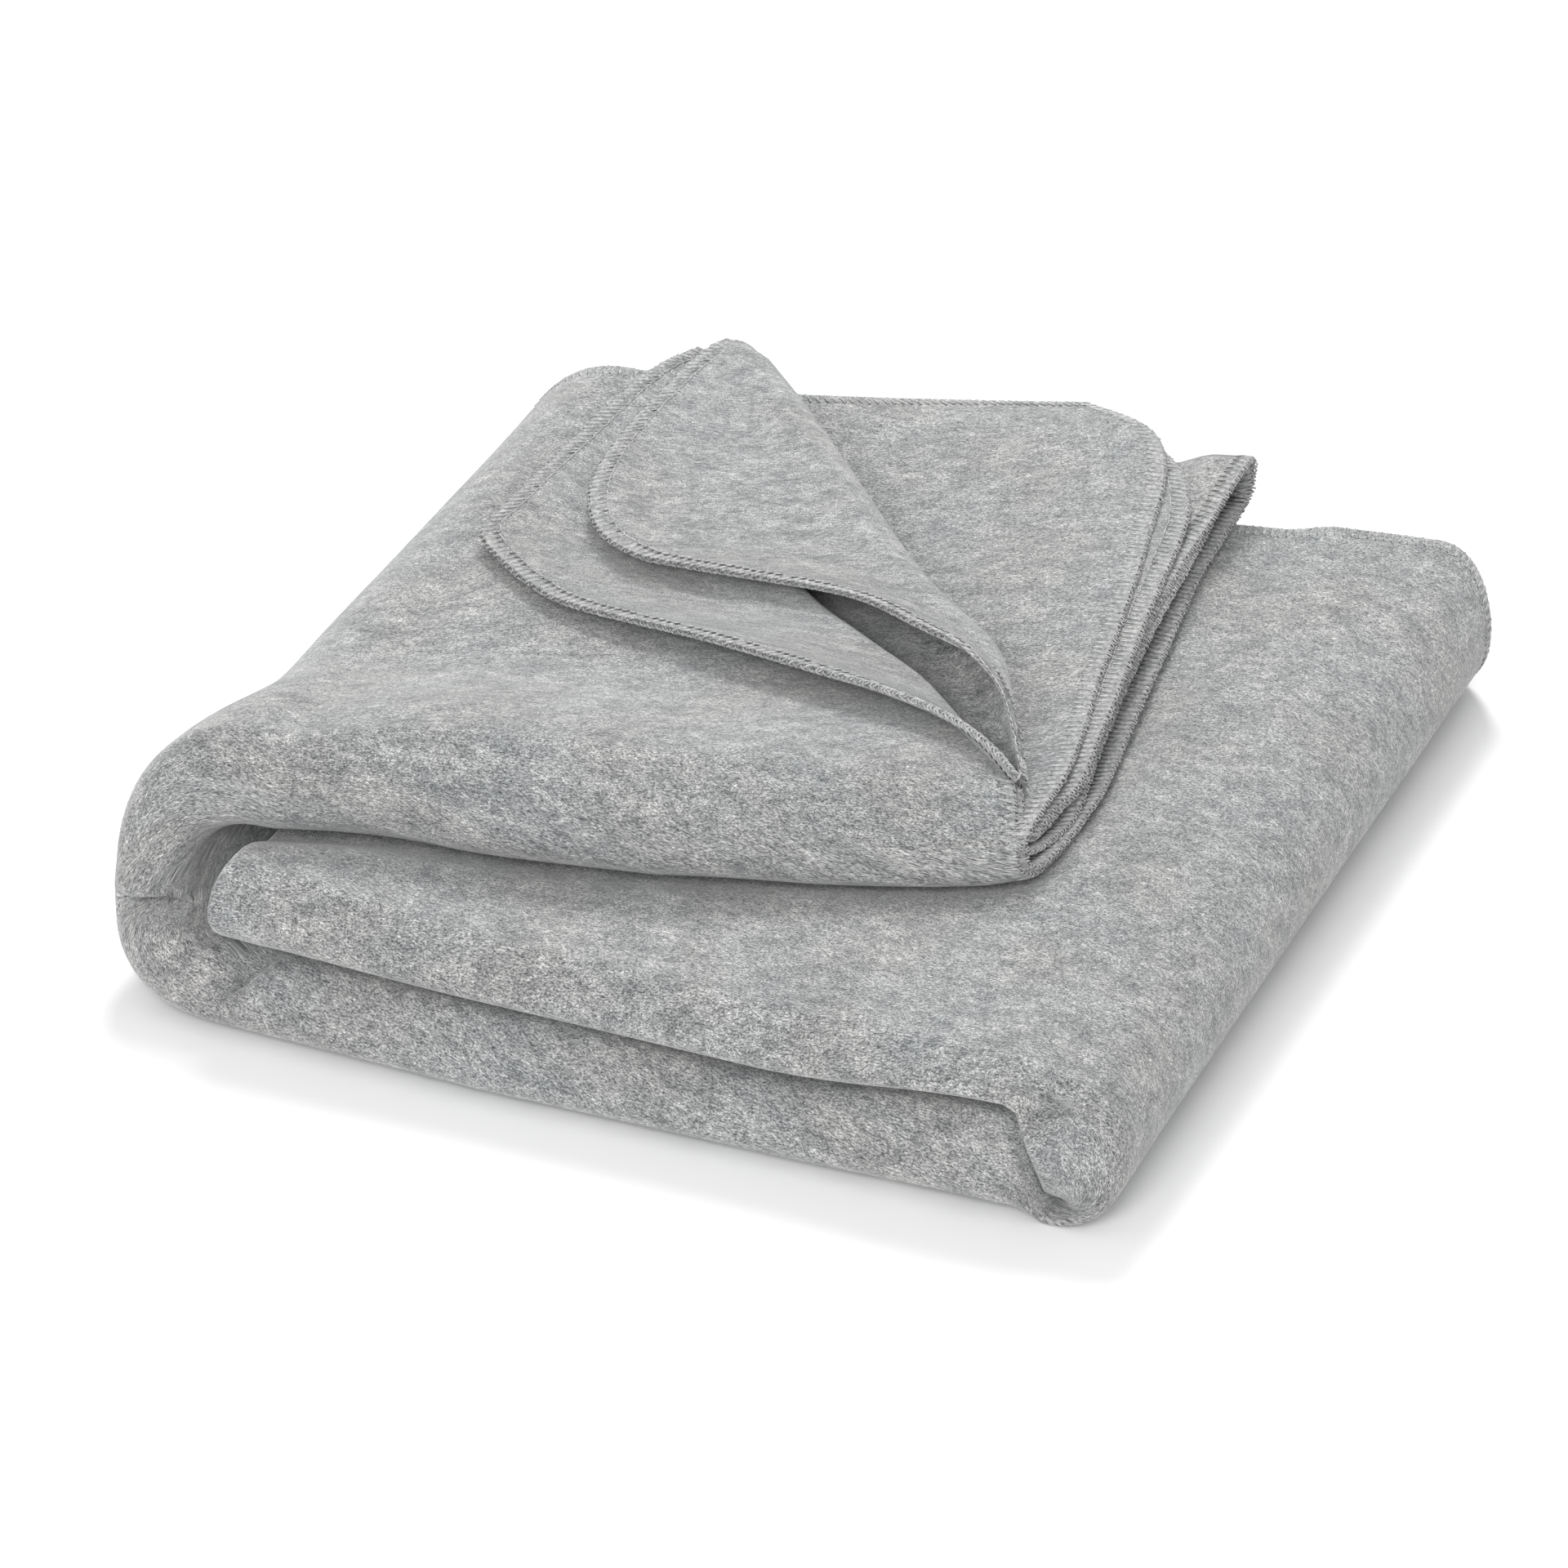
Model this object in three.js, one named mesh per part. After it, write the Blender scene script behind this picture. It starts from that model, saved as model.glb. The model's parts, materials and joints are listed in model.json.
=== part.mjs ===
// A large fleece throw blanket, folded small. Millimetres, +Z up, origin at the middle of the footprint
// on the surface that it lies on. +X points to the side where the lower fold turns, +Y to the back.
//
// The cloth is one sheet, CLOTH_LENGTH by CLOTH_WIDTH. It is folded in half along its length, then in
// four across its width, which makes a strip eight layers thick, and the strip is folded in three:
//   lower third  on the surface,
//   middle third folded over the right end onto the lower third,
//   upper third  folded over the left end on top, with its open end to the right.
// Each third holds four leaves. A leaf is two layers of cloth. Leaf 1 is on the outside of the roll,
// then come leaf 4, leaf 3 and leaf 2. Leaves 1 and 2 meet in the outer front fold, leaves 3 and 4 in
// the inner front fold, and leaves 2 and 3 in the back fold. Leaves 1 and 4 end at the back in free,
// overlocked edges. On the upper third the corner of leaf 1 is turned back as two flaps.
import * as THREE from 'three';

// ---------- driving dimensions ----------
const CLOTH_LENGTH = 2000;
const CLOTH_WIDTH = 1400;
const GAP = 0.6; // air between neighbouring leaves
const JOINT_GAP = 0.4; // clearance where two pieces of cloth meet end to end

const LEAF = 6.6; // two layers of cloth with the air between them
const MIDDLE_LEAF = 5.15; // the same, pressed by the upper third
const LOWER_Z = 0;
const MIDDLE_Z = 28.8;
const UPPER_Z = 51.8;
const LEFT_X = -177;
const RIGHT_X = 177;
const HIDDEN_END_X = -139; // the closed end of the middle third, inside the left fold
const HIDDEN_INSET = 5;
const FOLD_SETBACK = 2.5; // front and back folds stop this far from an end fold
const ASKEW_SETBACK = 6; // the same on the upper third, which lies askew
const UPPER_FOLD_END = 90; // x where the upper third's front and back folds end

// Front and back edges of each third, seen from above: y at x = 0, and rise along X.
const LOWER_FRONT = { y: -191, slope: 0.03 };
const LOWER_BACK = { y: 154, slope: 0.18 };
const MIDDLE_FRONT = { y: -180, slope: 0.05 };
const MIDDLE_BACK = { y: 156, slope: 0.18 };
const UPPER_FRONT = { y: -104, slope: 0.37 };
const UPPER_BACK = { y: 170, slope: 0.28 };

const END_FRONT = new THREE.Vector2(97, -62); // open end of the upper third, at the front fold
const END_BACK = new THREE.Vector2(75, 194); // the same at the back fold
const CLOTH_CORNER = 38; // radius of the cloth's four corners
const CORNER_SETBACK = 14; // how far leaf 4 stops short of leaf 2 at the open end

const CREASE_BACK = new THREE.Vector2(-104, 143); // the crease of the turned-back corner
const CREASE_FRONT = new THREE.Vector2(90, -58);
const FLAP_THICKNESS = 3.4;
const FLAP_LIFT = 1.0;

const SEAM_WIDTH = 2.4; // thread standing off a cut edge
const SEAM_HEIGHT = 4;
const THREAD_INSET = 8; // a back edge's thread stops this far from an end fold
const HIDDEN_THREAD_INSET = 4; // the same at the hidden end of the middle third
const CREASE_THREAD_INSET = 12; // the same at the crease of the turned-back corner
const LEAF_4_THREAD_START = 17; // where the threads of the open end begin, behind the front edge
const END_THREAD_START = 20;
const END_THREAD_STOP = 10; // and where they end, in front of the back edge
const ARC_STEPS = 12;

const UP = new THREE.Vector3(0, 0, 1);

// ---------- materials ----------
const cloth = (colour) => new THREE.MeshStandardMaterial({ color: colour, roughness: 0.95, metalness: 0 });
const OUTER_CLOTH = cloth(0xa9aaab);
const INNER_CLOTH = cloth(0x9c9d9e);
const FLAP_CLOTH = cloth(0xa3a4a5);
const THREAD = new THREE.MeshStandardMaterial({ color: 0x9b9c9d, roughness: 0.8, metalness: 0 });

const throwBlanket = new THREE.Group();

// ---------- helpers ----------
const yOn = (line, x) => line.y + line.slope * x;
const angleOf = (line) => Math.atan(line.slope);

function add(name, geometry, material) {
  const mesh = new THREE.Mesh(geometry, material.clone());
  mesh.name = name;
  throwBlanket.add(mesh);
  return mesh;
}

// A flat piece: its outline seen from above, and its lower and upper height.
function plate(name, outline, low, high, material) {
  const shape = outline instanceof THREE.Shape ? outline : new THREE.Shape(outline);
  const geometry = new THREE.ExtrudeGeometry(shape, {
    depth: high - low,
    bevelEnabled: false,
    curveSegments: ARC_STEPS,
  });
  geometry.translate(0, 0, low);
  return add(name, geometry, material);
}

// A section with its own x and y axes, pushed along one direction from a corner point.
function pushed(name, shape, axisX, axisY, corner, depth, material) {
  const geometry = new THREE.ExtrudeGeometry(shape, {
    depth,
    bevelEnabled: false,
    curveSegments: ARC_STEPS,
  });
  const along = new THREE.Vector3().crossVectors(axisX, axisY);
  geometry.applyMatrix4(new THREE.Matrix4().makeBasis(axisX, axisY, along).setPosition(corner));
  return add(name, geometry, material);
}

// The section of a fold: two legs of the given thickness joined by a half round, open towards +x.
function foldSection(low, high, thickness, reach) {
  const radius = (high - low) / 2;
  const middle = (high + low) / 2;
  const inner = radius - thickness;
  const shape = new THREE.Shape();
  shape.moveTo(reach, low);
  shape.lineTo(radius, low);
  shape.absarc(radius, middle, radius, -Math.PI / 2, Math.PI / 2, true);
  shape.lineTo(reach, high);
  if (inner < 1) return shape;
  shape.lineTo(reach, high - thickness);
  shape.lineTo(radius, high - thickness);
  shape.absarc(radius, middle, inner, Math.PI / 2, -Math.PI / 2, false);
  shape.lineTo(reach, low + thickness);
  return shape;
}

// A front or back fold that follows one edge line between two x positions.
function edgeFold(name, line, xFrom, xTo, low, high, thickness, side) {
  const angle = angleOf(line);
  const inward = new THREE.Vector3(-Math.sin(angle) * side, Math.cos(angle) * side, 0);
  const start = side > 0 ? xFrom : xTo;
  const corner = new THREE.Vector3(start, yOn(line, start), 0);
  const length = (xTo - xFrom) / Math.cos(angle);
  const reach = (high - low) / 2 + 0.5;
  const section = foldSection(low, high, thickness, reach);
  return pushed(name, section, inward, UP, corner, length, OUTER_CLOTH);
}

// How far a leaf stays back from an edge line to clear a fold of that height there, measured along Y.
const clearOf = (line, foldHeight) => (foldHeight / 2 + 0.5 + JOINT_GAP) / Math.cos(angleOf(line));

// ---------- the strip between its end folds ----------
// levels: the height of the lower face of each leaf, from the outside of the roll inwards.
function levelsOf(bottom, leaf, outsideIsTop) {
  const rising = [0, 1, 2, 3].map((k) => bottom + k * (leaf + GAP));
  return outsideIsTop ? rising.reverse() : rising;
}

const LEAF_ORDER = [1, 4, 3, 2];

function third(label, spec) {
  const { leaf, bottom, outsideIsTop, front, back, outlineOf, foldFrom, foldTo } = spec;
  const levels = levelsOf(bottom, leaf, outsideIsTop);
  const top = bottom + 4 * leaf + 3 * GAP;
  const inner = leaf + GAP;
  const fullFold = clearOf(front, top - bottom);
  const nestedFold = clearOf(front, top - bottom - 2 * inner) + inner / Math.cos(angleOf(front));
  const backFold = clearOf(back, 2 * leaf + GAP);
  LEAF_ORDER.forEach((number, k) => {
    const outerFold = number === 1 || number === 2;
    const insetFront = outerFold ? fullFold : nestedFold;
    const insetBack = number === 2 || number === 3 ? backFold : 0;
    const outline = outlineOf(number, insetFront, insetBack);
    const material = outerFold ? OUTER_CLOTH : INNER_CLOTH;
    plate(`${label}_leaf_${number}`, outline, levels[k], levels[k] + leaf, material);
  });
  edgeFold(`${label}_front_fold_outer`, front, foldFrom, foldTo, bottom, top, leaf, 1);
  const shifted = { y: front.y + inner / Math.cos(angleOf(front)), slope: front.slope };
  edgeFold(`${label}_front_fold_inner`, shifted, foldFrom, foldTo, bottom + inner, top - inner, leaf, 1);
  const low = Math.min(levels[2], levels[3]);
  edgeFold(`${label}_back_fold`, back, foldFrom, foldTo, low, low + 2 * leaf + GAP, leaf, -1);
  return levels;
}

const corners = (...pairs) => pairs.map(([x, y]) => new THREE.Vector2(x, y));

// ---------- where the thirds end ----------
const LOWER_TOP = LOWER_Z + 4 * LEAF + 3 * GAP;
const MIDDLE_TOP = MIDDLE_Z + 4 * MIDDLE_LEAF + 3 * GAP;
const UPPER_TOP = UPPER_Z + 4 * LEAF + 3 * GAP;
const LEFT_FOLD_X = LEFT_X + (UPPER_TOP - LOWER_Z) / 2;
const RIGHT_FOLD_X = RIGHT_X - (MIDDLE_TOP - LOWER_Z) / 2;

// ---------- lower third ----------
function lowerOutline(number, insetFront, insetBack) {
  const left = LEFT_FOLD_X + JOINT_GAP;
  const right = RIGHT_FOLD_X - JOINT_GAP;
  return corners(
    [left, yOn(LOWER_FRONT, left) + insetFront],
    [right, yOn(LOWER_FRONT, right) + insetFront],
    [right, yOn(LOWER_BACK, right) - insetBack],
    [left, yOn(LOWER_BACK, left) - insetBack],
  );
}
const lowerLevels = third('lower', {
  leaf: LEAF,
  bottom: LOWER_Z,
  outsideIsTop: false,
  front: LOWER_FRONT,
  back: LOWER_BACK,
  outlineOf: lowerOutline,
  foldFrom: LEFT_FOLD_X + FOLD_SETBACK,
  foldTo: RIGHT_FOLD_X - FOLD_SETBACK,
});

// ---------- middle third ----------
function middleOutline(number, insetFront, insetBack) {
  const outside = number === 1 || number === 2;
  const left = outside ? HIDDEN_END_X : HIDDEN_END_X - HIDDEN_INSET;
  const right = RIGHT_FOLD_X - JOINT_GAP;
  return corners(
    [left, yOn(MIDDLE_FRONT, left) + insetFront],
    [right, yOn(MIDDLE_FRONT, right) + insetFront],
    [right, yOn(MIDDLE_BACK, right) - insetBack],
    [left, yOn(MIDDLE_BACK, left) - insetBack],
  );
}
const middleLevels = third('middle', {
  leaf: MIDDLE_LEAF,
  bottom: MIDDLE_Z,
  outsideIsTop: true,
  front: MIDDLE_FRONT,
  back: MIDDLE_BACK,
  outlineOf: middleOutline,
  foldFrom: HIDDEN_END_X,
  foldTo: RIGHT_FOLD_X - FOLD_SETBACK,
});

// ---------- upper third ----------
const endSlope = (END_BACK.x - END_FRONT.x) / (END_BACK.y - END_FRONT.y);
const endX = (y) => END_FRONT.x + endSlope * (y - END_FRONT.y);
const creaseSlope = (CREASE_FRONT.x - CREASE_BACK.x) / (CREASE_FRONT.y - CREASE_BACK.y);
const creaseX = (y) => CREASE_BACK.x + creaseSlope * (y - CREASE_BACK.y);

// Where the line x = xOf(y) meets an edge line that is moved by an inset along Y.
function meet(xOf, line, inset) {
  let y = yOn(line, 0) + inset;
  for (let i = 0; i < 12; i += 1) y = yOn(line, xOf(y)) + inset;
  return [xOf(y), y];
}

function roundedLeaf4(left, insetFront) {
  const short = (y) => endX(y) - CORNER_SETBACK;
  const [endFrontX, endFrontY] = meet(endX, UPPER_FRONT, insetFront);
  const [endBackX, endBackY] = meet(short, UPPER_BACK, 0);
  const cornerX = endBackX - CLOTH_CORNER;
  const shape = new THREE.Shape();
  shape.moveTo(left, yOn(UPPER_FRONT, left) + insetFront);
  shape.lineTo(endFrontX, endFrontY);
  shape.lineTo(short(endBackY - CLOTH_CORNER), endBackY - CLOTH_CORNER);
  shape.quadraticCurveTo(endBackX, endBackY, cornerX, yOn(UPPER_BACK, cornerX));
  shape.lineTo(left, yOn(UPPER_BACK, left));
  return shape;
}

function upperOutline(number, insetFront, insetBack) {
  const left = LEFT_FOLD_X + JOINT_GAP;
  if (number === 4) return roundedLeaf4(left, insetFront);
  const end = number === 1 ? creaseX : endX;
  return corners(
    [left, yOn(UPPER_FRONT, left) + insetFront],
    meet(end, UPPER_FRONT, insetFront),
    meet(end, UPPER_BACK, -insetBack),
    [left, yOn(UPPER_BACK, left) - insetBack],
  );
}
const upperLevels = third('upper', {
  leaf: LEAF,
  bottom: UPPER_Z,
  outsideIsTop: true,
  front: UPPER_FRONT,
  back: UPPER_BACK,
  outlineOf: upperOutline,
  foldFrom: LEFT_FOLD_X + ASKEW_SETBACK,
  foldTo: UPPER_FOLD_END,
});

// ---------- end folds: four nested leaves turning from one third into the next ----------
// side is 1 where the fold turns at the left end and -1 where it turns at the right end.
function endFold(label, foldX, side, lower, upper, yFront, yBack) {
  LEAF_ORDER.forEach((number, k) => {
    const low = lower.levels[k];
    const high = upper.levels[k] + upper.leaf;
    const radius = (high - low) / 2;
    const innerRadius = (upper.levels[k] - low - lower.leaf) / 2;
    const innerMiddle = (upper.levels[k] + low + lower.leaf) / 2;
    const shape = new THREE.Shape();
    shape.moveTo(0, low);
    shape.absarc(0, low + radius, radius, -Math.PI / 2, Math.PI / 2, true);
    if (innerRadius > 1) {
      shape.lineTo(0, innerMiddle + innerRadius);
      shape.absarc(0, innerMiddle, innerRadius, Math.PI / 2, -Math.PI / 2, false);
    }
    const axisX = new THREE.Vector3(side, 0, 0);
    const startY = side > 0 ? yBack : yFront;
    const corner = new THREE.Vector3(foldX, startY, 0);
    pushed(`${label}_leaf_${number}`, shape, axisX, UP, corner, yBack - yFront, OUTER_CLOTH);
  });
}
const lowerThird = { levels: lowerLevels, leaf: LEAF };
const middleThird = { levels: middleLevels, leaf: MIDDLE_LEAF };
const upperThird = { levels: upperLevels, leaf: LEAF };
const LEFT_FOLD_FRONT = -186;
const LEFT_FOLD_BACK = 128;
const RIGHT_FOLD_FRONT = -181;
const RIGHT_FOLD_BACK = 184;
endFold('left_fold', LEFT_FOLD_X, 1, lowerThird, upperThird, LEFT_FOLD_FRONT, LEFT_FOLD_BACK);
endFold('right_fold', RIGHT_FOLD_X, -1, lowerThird, middleThird, RIGHT_FOLD_FRONT, RIGHT_FOLD_BACK);

// ---------- the turned-back corner ----------
// Both flaps are seen from above. The outer layer lies lower and reaches further than the inner layer.
function outerLayerFlap() {
  const shape = new THREE.Shape();
  shape.moveTo(82, -56);
  shape.lineTo(-114, 147);
  shape.quadraticCurveTo(-129, 138, -131, 97);
  shape.lineTo(-134, 24);
  shape.quadraticCurveTo(-138, -14, -98, -20);
  shape.quadraticCurveTo(10, -26, 76, -56);
  return shape;
}

function innerLayerFlap() {
  const shape = new THREE.Shape();
  shape.moveTo(88, -54);
  shape.lineTo(-99, 149);
  shape.quadraticCurveTo(-110, 148, -112, 128);
  shape.lineTo(-113, 62);
  shape.quadraticCurveTo(-112, 6, -62, 5);
  shape.quadraticCurveTo(24, 4, 82, -54);
  return shape;
}
const flapLow = UPPER_TOP + FLAP_LIFT;
const flapHigh = flapLow + FLAP_THICKNESS;
const innerLow = flapHigh + GAP;
const innerHigh = innerLow + FLAP_THICKNESS;
plate('corner_flap_outer_layer', outerLayerFlap(), flapLow, flapHigh, FLAP_CLOTH);
plate('corner_flap_inner_layer', innerLayerFlap(), innerLow, innerHigh, FLAP_CLOTH);

// ---------- overlock thread on the cut edges ----------
// A strip that runs along the outside of a path seen from above, to the left of its direction.
function edgeThread(name, path, middleHeight) {
  const near = path.map((point, i) => {
    const before = path[Math.max(i - 1, 0)];
    const after = path[Math.min(i + 1, path.length - 1)];
    const normal = after.clone().sub(before).normalize();
    return { point, out: new THREE.Vector2(-normal.y, normal.x) };
  });
  const side = (distance) => near.map(({ point, out }) => point.clone().addScaledVector(out, distance));
  const outline = [...side(JOINT_GAP), ...side(JOINT_GAP + SEAM_WIDTH).reverse()];
  return plate(name, outline, middleHeight - SEAM_HEIGHT / 2, middleHeight + SEAM_HEIGHT / 2, THREAD);
}

function backEdgeThreads(label, levels, leaf, line, xFrom, xTo) {
  [[1, levels[0]], [4, levels[1]]].forEach(([number, level]) => {
    const path = corners([xFrom, yOn(line, xFrom)], [xTo, yOn(line, xTo)]);
    edgeThread(`${label}_overlock_${number}`, path, level + leaf / 2);
  });
}
const threadLeft = LEFT_FOLD_X + THREAD_INSET;
const threadRight = RIGHT_FOLD_X - THREAD_INSET;
const threadHidden = HIDDEN_END_X + HIDDEN_THREAD_INSET;
backEdgeThreads('lower', lowerLevels, LEAF, LOWER_BACK, threadLeft, threadRight);
backEdgeThreads('middle', middleLevels, MIDDLE_LEAF, MIDDLE_BACK, threadHidden, threadRight);

// The free edges of leaves 1 and 4 where they run round the two end folds.
function endFoldThreads(label, foldX, side, lower, upper, yEdge) {
  [0, 1].forEach((k) => {
    const low = lower.levels[k] + lower.leaf / 2 - SEAM_HEIGHT / 2;
    const high = upper.levels[k] + upper.leaf / 2 + SEAM_HEIGHT / 2;
    const radius = (high - low) / 2;
    const shape = new THREE.Shape();
    shape.absarc(0, low + radius, radius, -Math.PI / 2, Math.PI / 2, true);
    shape.absarc(0, low + radius, radius - SEAM_HEIGHT, Math.PI / 2, -Math.PI / 2, false);
    const axisX = new THREE.Vector3(side, 0, 0);
    const startY = yEdge + JOINT_GAP + (side > 0 ? SEAM_WIDTH : 0);
    const name = `${label}_overlock_${LEAF_ORDER[k]}`;
    pushed(name, shape, axisX, UP, new THREE.Vector3(foldX, startY, 0), SEAM_WIDTH, THREAD);
  });
}
endFoldThreads('left_fold', LEFT_FOLD_X, 1, lowerThird, upperThird, LEFT_FOLD_BACK);
endFoldThreads('right_fold', RIGHT_FOLD_X, -1, lowerThird, middleThird, RIGHT_FOLD_BACK);

// The open end of the upper third: leaf 4 along its back edge, corner and end, leaves 2 and 3 at the end.
const leaf4Outline = roundedLeaf4(LEFT_FOLD_X + JOINT_GAP, LEAF_4_THREAD_START);
const leaf4Edge = leaf4Outline.getPoints(ARC_STEPS).slice(1).reverse();
edgeThread('upper_overlock_4', leaf4Edge, upperLevels[1] + LEAF / 2);
[[3, 2], [2, 3]].forEach(([number, k]) => {
  const backEnd = meet(endX, UPPER_BACK, -END_THREAD_STOP);
  const path = corners(backEnd, meet(endX, UPPER_FRONT, END_THREAD_START));
  edgeThread(`upper_overlock_${number}`, path, upperLevels[k] + LEAF / 2);
});
const leaf1Back = [threadLeft, CREASE_BACK.x - CREASE_THREAD_INSET].map((x) => [x, yOn(UPPER_BACK, x)]);
edgeThread('upper_overlock_1', corners(...leaf1Back), upperLevels[0] + LEAF / 2);

// The cut edges of the two flaps, from the back of the crease round the cloth's corner to its front.
function flapThread(name, shape, low) {
  const path = shape.getPoints(ARC_STEPS).slice(2, -1).reverse();
  edgeThread(name, path, low + FLAP_THICKNESS / 2);
}
flapThread('corner_flap_outer_overlock', outerLayerFlap(), flapLow);
flapThread('corner_flap_inner_overlock', innerLayerFlap(), innerLow);

throwBlanket.userData = { clothLength: CLOTH_LENGTH, clothWidth: CLOTH_WIDTH };
export default throwBlanket;
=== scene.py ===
"""The looks of a folded fleece throw blanket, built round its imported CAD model.

The blanket is one sheet of cloth, folded in half along its length, in four across its width and
then in three. Here it is made the same way: as two layers, outer and inner, that meet in the
half fold. Each layer is a grid of rows and columns. A row runs once across the cloth's width, through
the four leaves and the folds between them; the rows follow one another along the folded strip:
    the middle third, the right fold, the lower third, the left fold, the upper third.
Lengths are in millimetres until a mesh is made.
"""
import json
import math

import bpy
import numpy as np
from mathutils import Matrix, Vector


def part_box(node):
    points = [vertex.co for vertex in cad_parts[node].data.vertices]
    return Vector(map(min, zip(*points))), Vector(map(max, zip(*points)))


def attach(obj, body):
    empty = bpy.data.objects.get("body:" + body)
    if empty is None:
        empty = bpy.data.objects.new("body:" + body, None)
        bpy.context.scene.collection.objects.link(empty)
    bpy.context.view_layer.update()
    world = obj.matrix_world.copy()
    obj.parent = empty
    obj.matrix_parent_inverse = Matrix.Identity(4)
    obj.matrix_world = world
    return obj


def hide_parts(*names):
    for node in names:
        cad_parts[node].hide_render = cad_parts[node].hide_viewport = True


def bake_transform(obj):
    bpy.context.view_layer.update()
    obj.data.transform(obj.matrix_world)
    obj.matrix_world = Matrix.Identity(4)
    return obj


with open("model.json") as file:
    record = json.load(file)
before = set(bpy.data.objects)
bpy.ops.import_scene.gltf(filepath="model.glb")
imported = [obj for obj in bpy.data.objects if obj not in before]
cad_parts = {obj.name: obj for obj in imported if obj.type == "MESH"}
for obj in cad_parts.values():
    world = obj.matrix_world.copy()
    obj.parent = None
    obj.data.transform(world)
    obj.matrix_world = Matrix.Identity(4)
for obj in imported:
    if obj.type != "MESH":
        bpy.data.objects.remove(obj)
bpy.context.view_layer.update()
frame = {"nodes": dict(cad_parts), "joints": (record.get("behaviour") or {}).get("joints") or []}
MM = 0.001
SEED = 7

# ---------- driving sizes ----------
CLOTH = 2.2                    # thickness of the cloth
LAYERS = 8
FOLD_DEPTH = {"lower": 13.5, "middle": 10.5}                  # how deep the outer front fold is
FOLD_SKEW = {"lower": 0.45, "middle": -0.55, "upper": -0.35}  # above 0: fullest near layer 0
BACK_DEPTH = 6.0
STITCH = 2.9                   # length of one overlock stitch
SEAM = 6.0                     # width of the overlock band
THREAD = 0.40                  # radius of the sewing thread


def box_mm(node):
    low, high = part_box(node)
    return np.array(low) / MM, np.array(high) / MM


LEFT_X = box_mm("left_fold_leaf_1")[0][0]
LEFT_FOLD_X = box_mm("left_fold_leaf_1")[1][0]
RIGHT_X = box_mm("right_fold_leaf_1")[1][0]
RIGHT_FOLD_X = box_mm("right_fold_leaf_1")[0][0]
HIDDEN_END_X = box_mm("middle_leaf_1")[0][0]
LOWER_LOW, LOWER_TOP = box_mm("lower_leaf_1")[0][2], box_mm("lower_leaf_2")[1][2]
MIDDLE_LOW, MIDDLE_TOP = box_mm("middle_leaf_2")[0][2], box_mm("middle_leaf_1")[1][2]


def smooth(t):
    t = np.clip(t, 0, 1)
    return t * t * (3 - 2 * t)


def spline(points, count):
    """A smooth curve through given points, as count points evenly spaced along it."""
    p = np.array(points, float)
    p = np.vstack([2 * p[0] - p[1], p, 2 * p[-1] - p[-2]])
    t = np.linspace(0, 1, 16, endpoint=False)[:, None]
    parts = []
    for a, b, c, d in zip(p, p[1:], p[2:], p[3:]):
        parts.append(0.5 * (2 * b + (c - a) * t + (2 * a - 5 * b + 4 * c - d) * t**2
                            + (3 * b - a - 3 * c + d) * t**3))
    fine = np.vstack([*parts, p[-2:-1]])
    along = np.concatenate([[0], np.cumsum(np.linalg.norm(np.diff(fine, axis=0), axis=1))])
    where = np.linspace(0, along[-1], count)
    return np.stack([np.interp(where, along, fine[:, i]) for i in range(fine.shape[1])], 1)


# A soft unevenness made of a few long waves in seeded directions, about -1 to 1.
_random = np.random.default_rng(SEED)
_waves = [(a, f, ph) for a, f, ph in zip(_random.uniform(0, math.pi, 24),
                                         _random.uniform(0.7, 1.4, 24),
                                         _random.uniform(0, 2 * math.pi, 24))]


def uneven(x, y, length, first=0):
    total = 0
    for angle, stretch, phase in _waves[first:first + 6]:
        total = total + np.sin((x * math.cos(angle) + y * math.sin(angle))
                               * 2 * math.pi * stretch / length + phase)
    return total / 3


# ---------- where the folded strip's edges lie, seen from above ----------
def line(x, points):
    xs, ys = zip(*points)
    return np.interp(x, xs, ys)


FRONT = {
    "lower": lambda x: line(x, [(-180, -195.5), (-40, -194.5), (50, -189), (138, -185), (158, -179)]),
    "middle": lambda x: line(x, [(-150, -186), (-60, -185), (90, -181), (138, -177), (156, -181)]),
    "upper": lambda x: line(x, [(-180, -174), (-150, -161), (-88, -142), (-60, -137), (-11, -127),
                                (39, -109), (76, -93), (90, -86), (103, -76), (115, -70)]),
}
BACK_FREE = {
    "lower": lambda x: 156 + 0.185 * x,
    "middle": lambda x: 158 + 0.20 * x,
    "upper": lambda x: 190 + 0.365 * x,
}
BACK_FOLD = {
    "lower": lambda x: 153 + 0.185 * x,
    "middle": lambda x: 154 + 0.20 * x,
    "upper": lambda x: line(x, [(-180, 126), (-60, 159), (51, 181), (82, 191)]),
}

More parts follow.
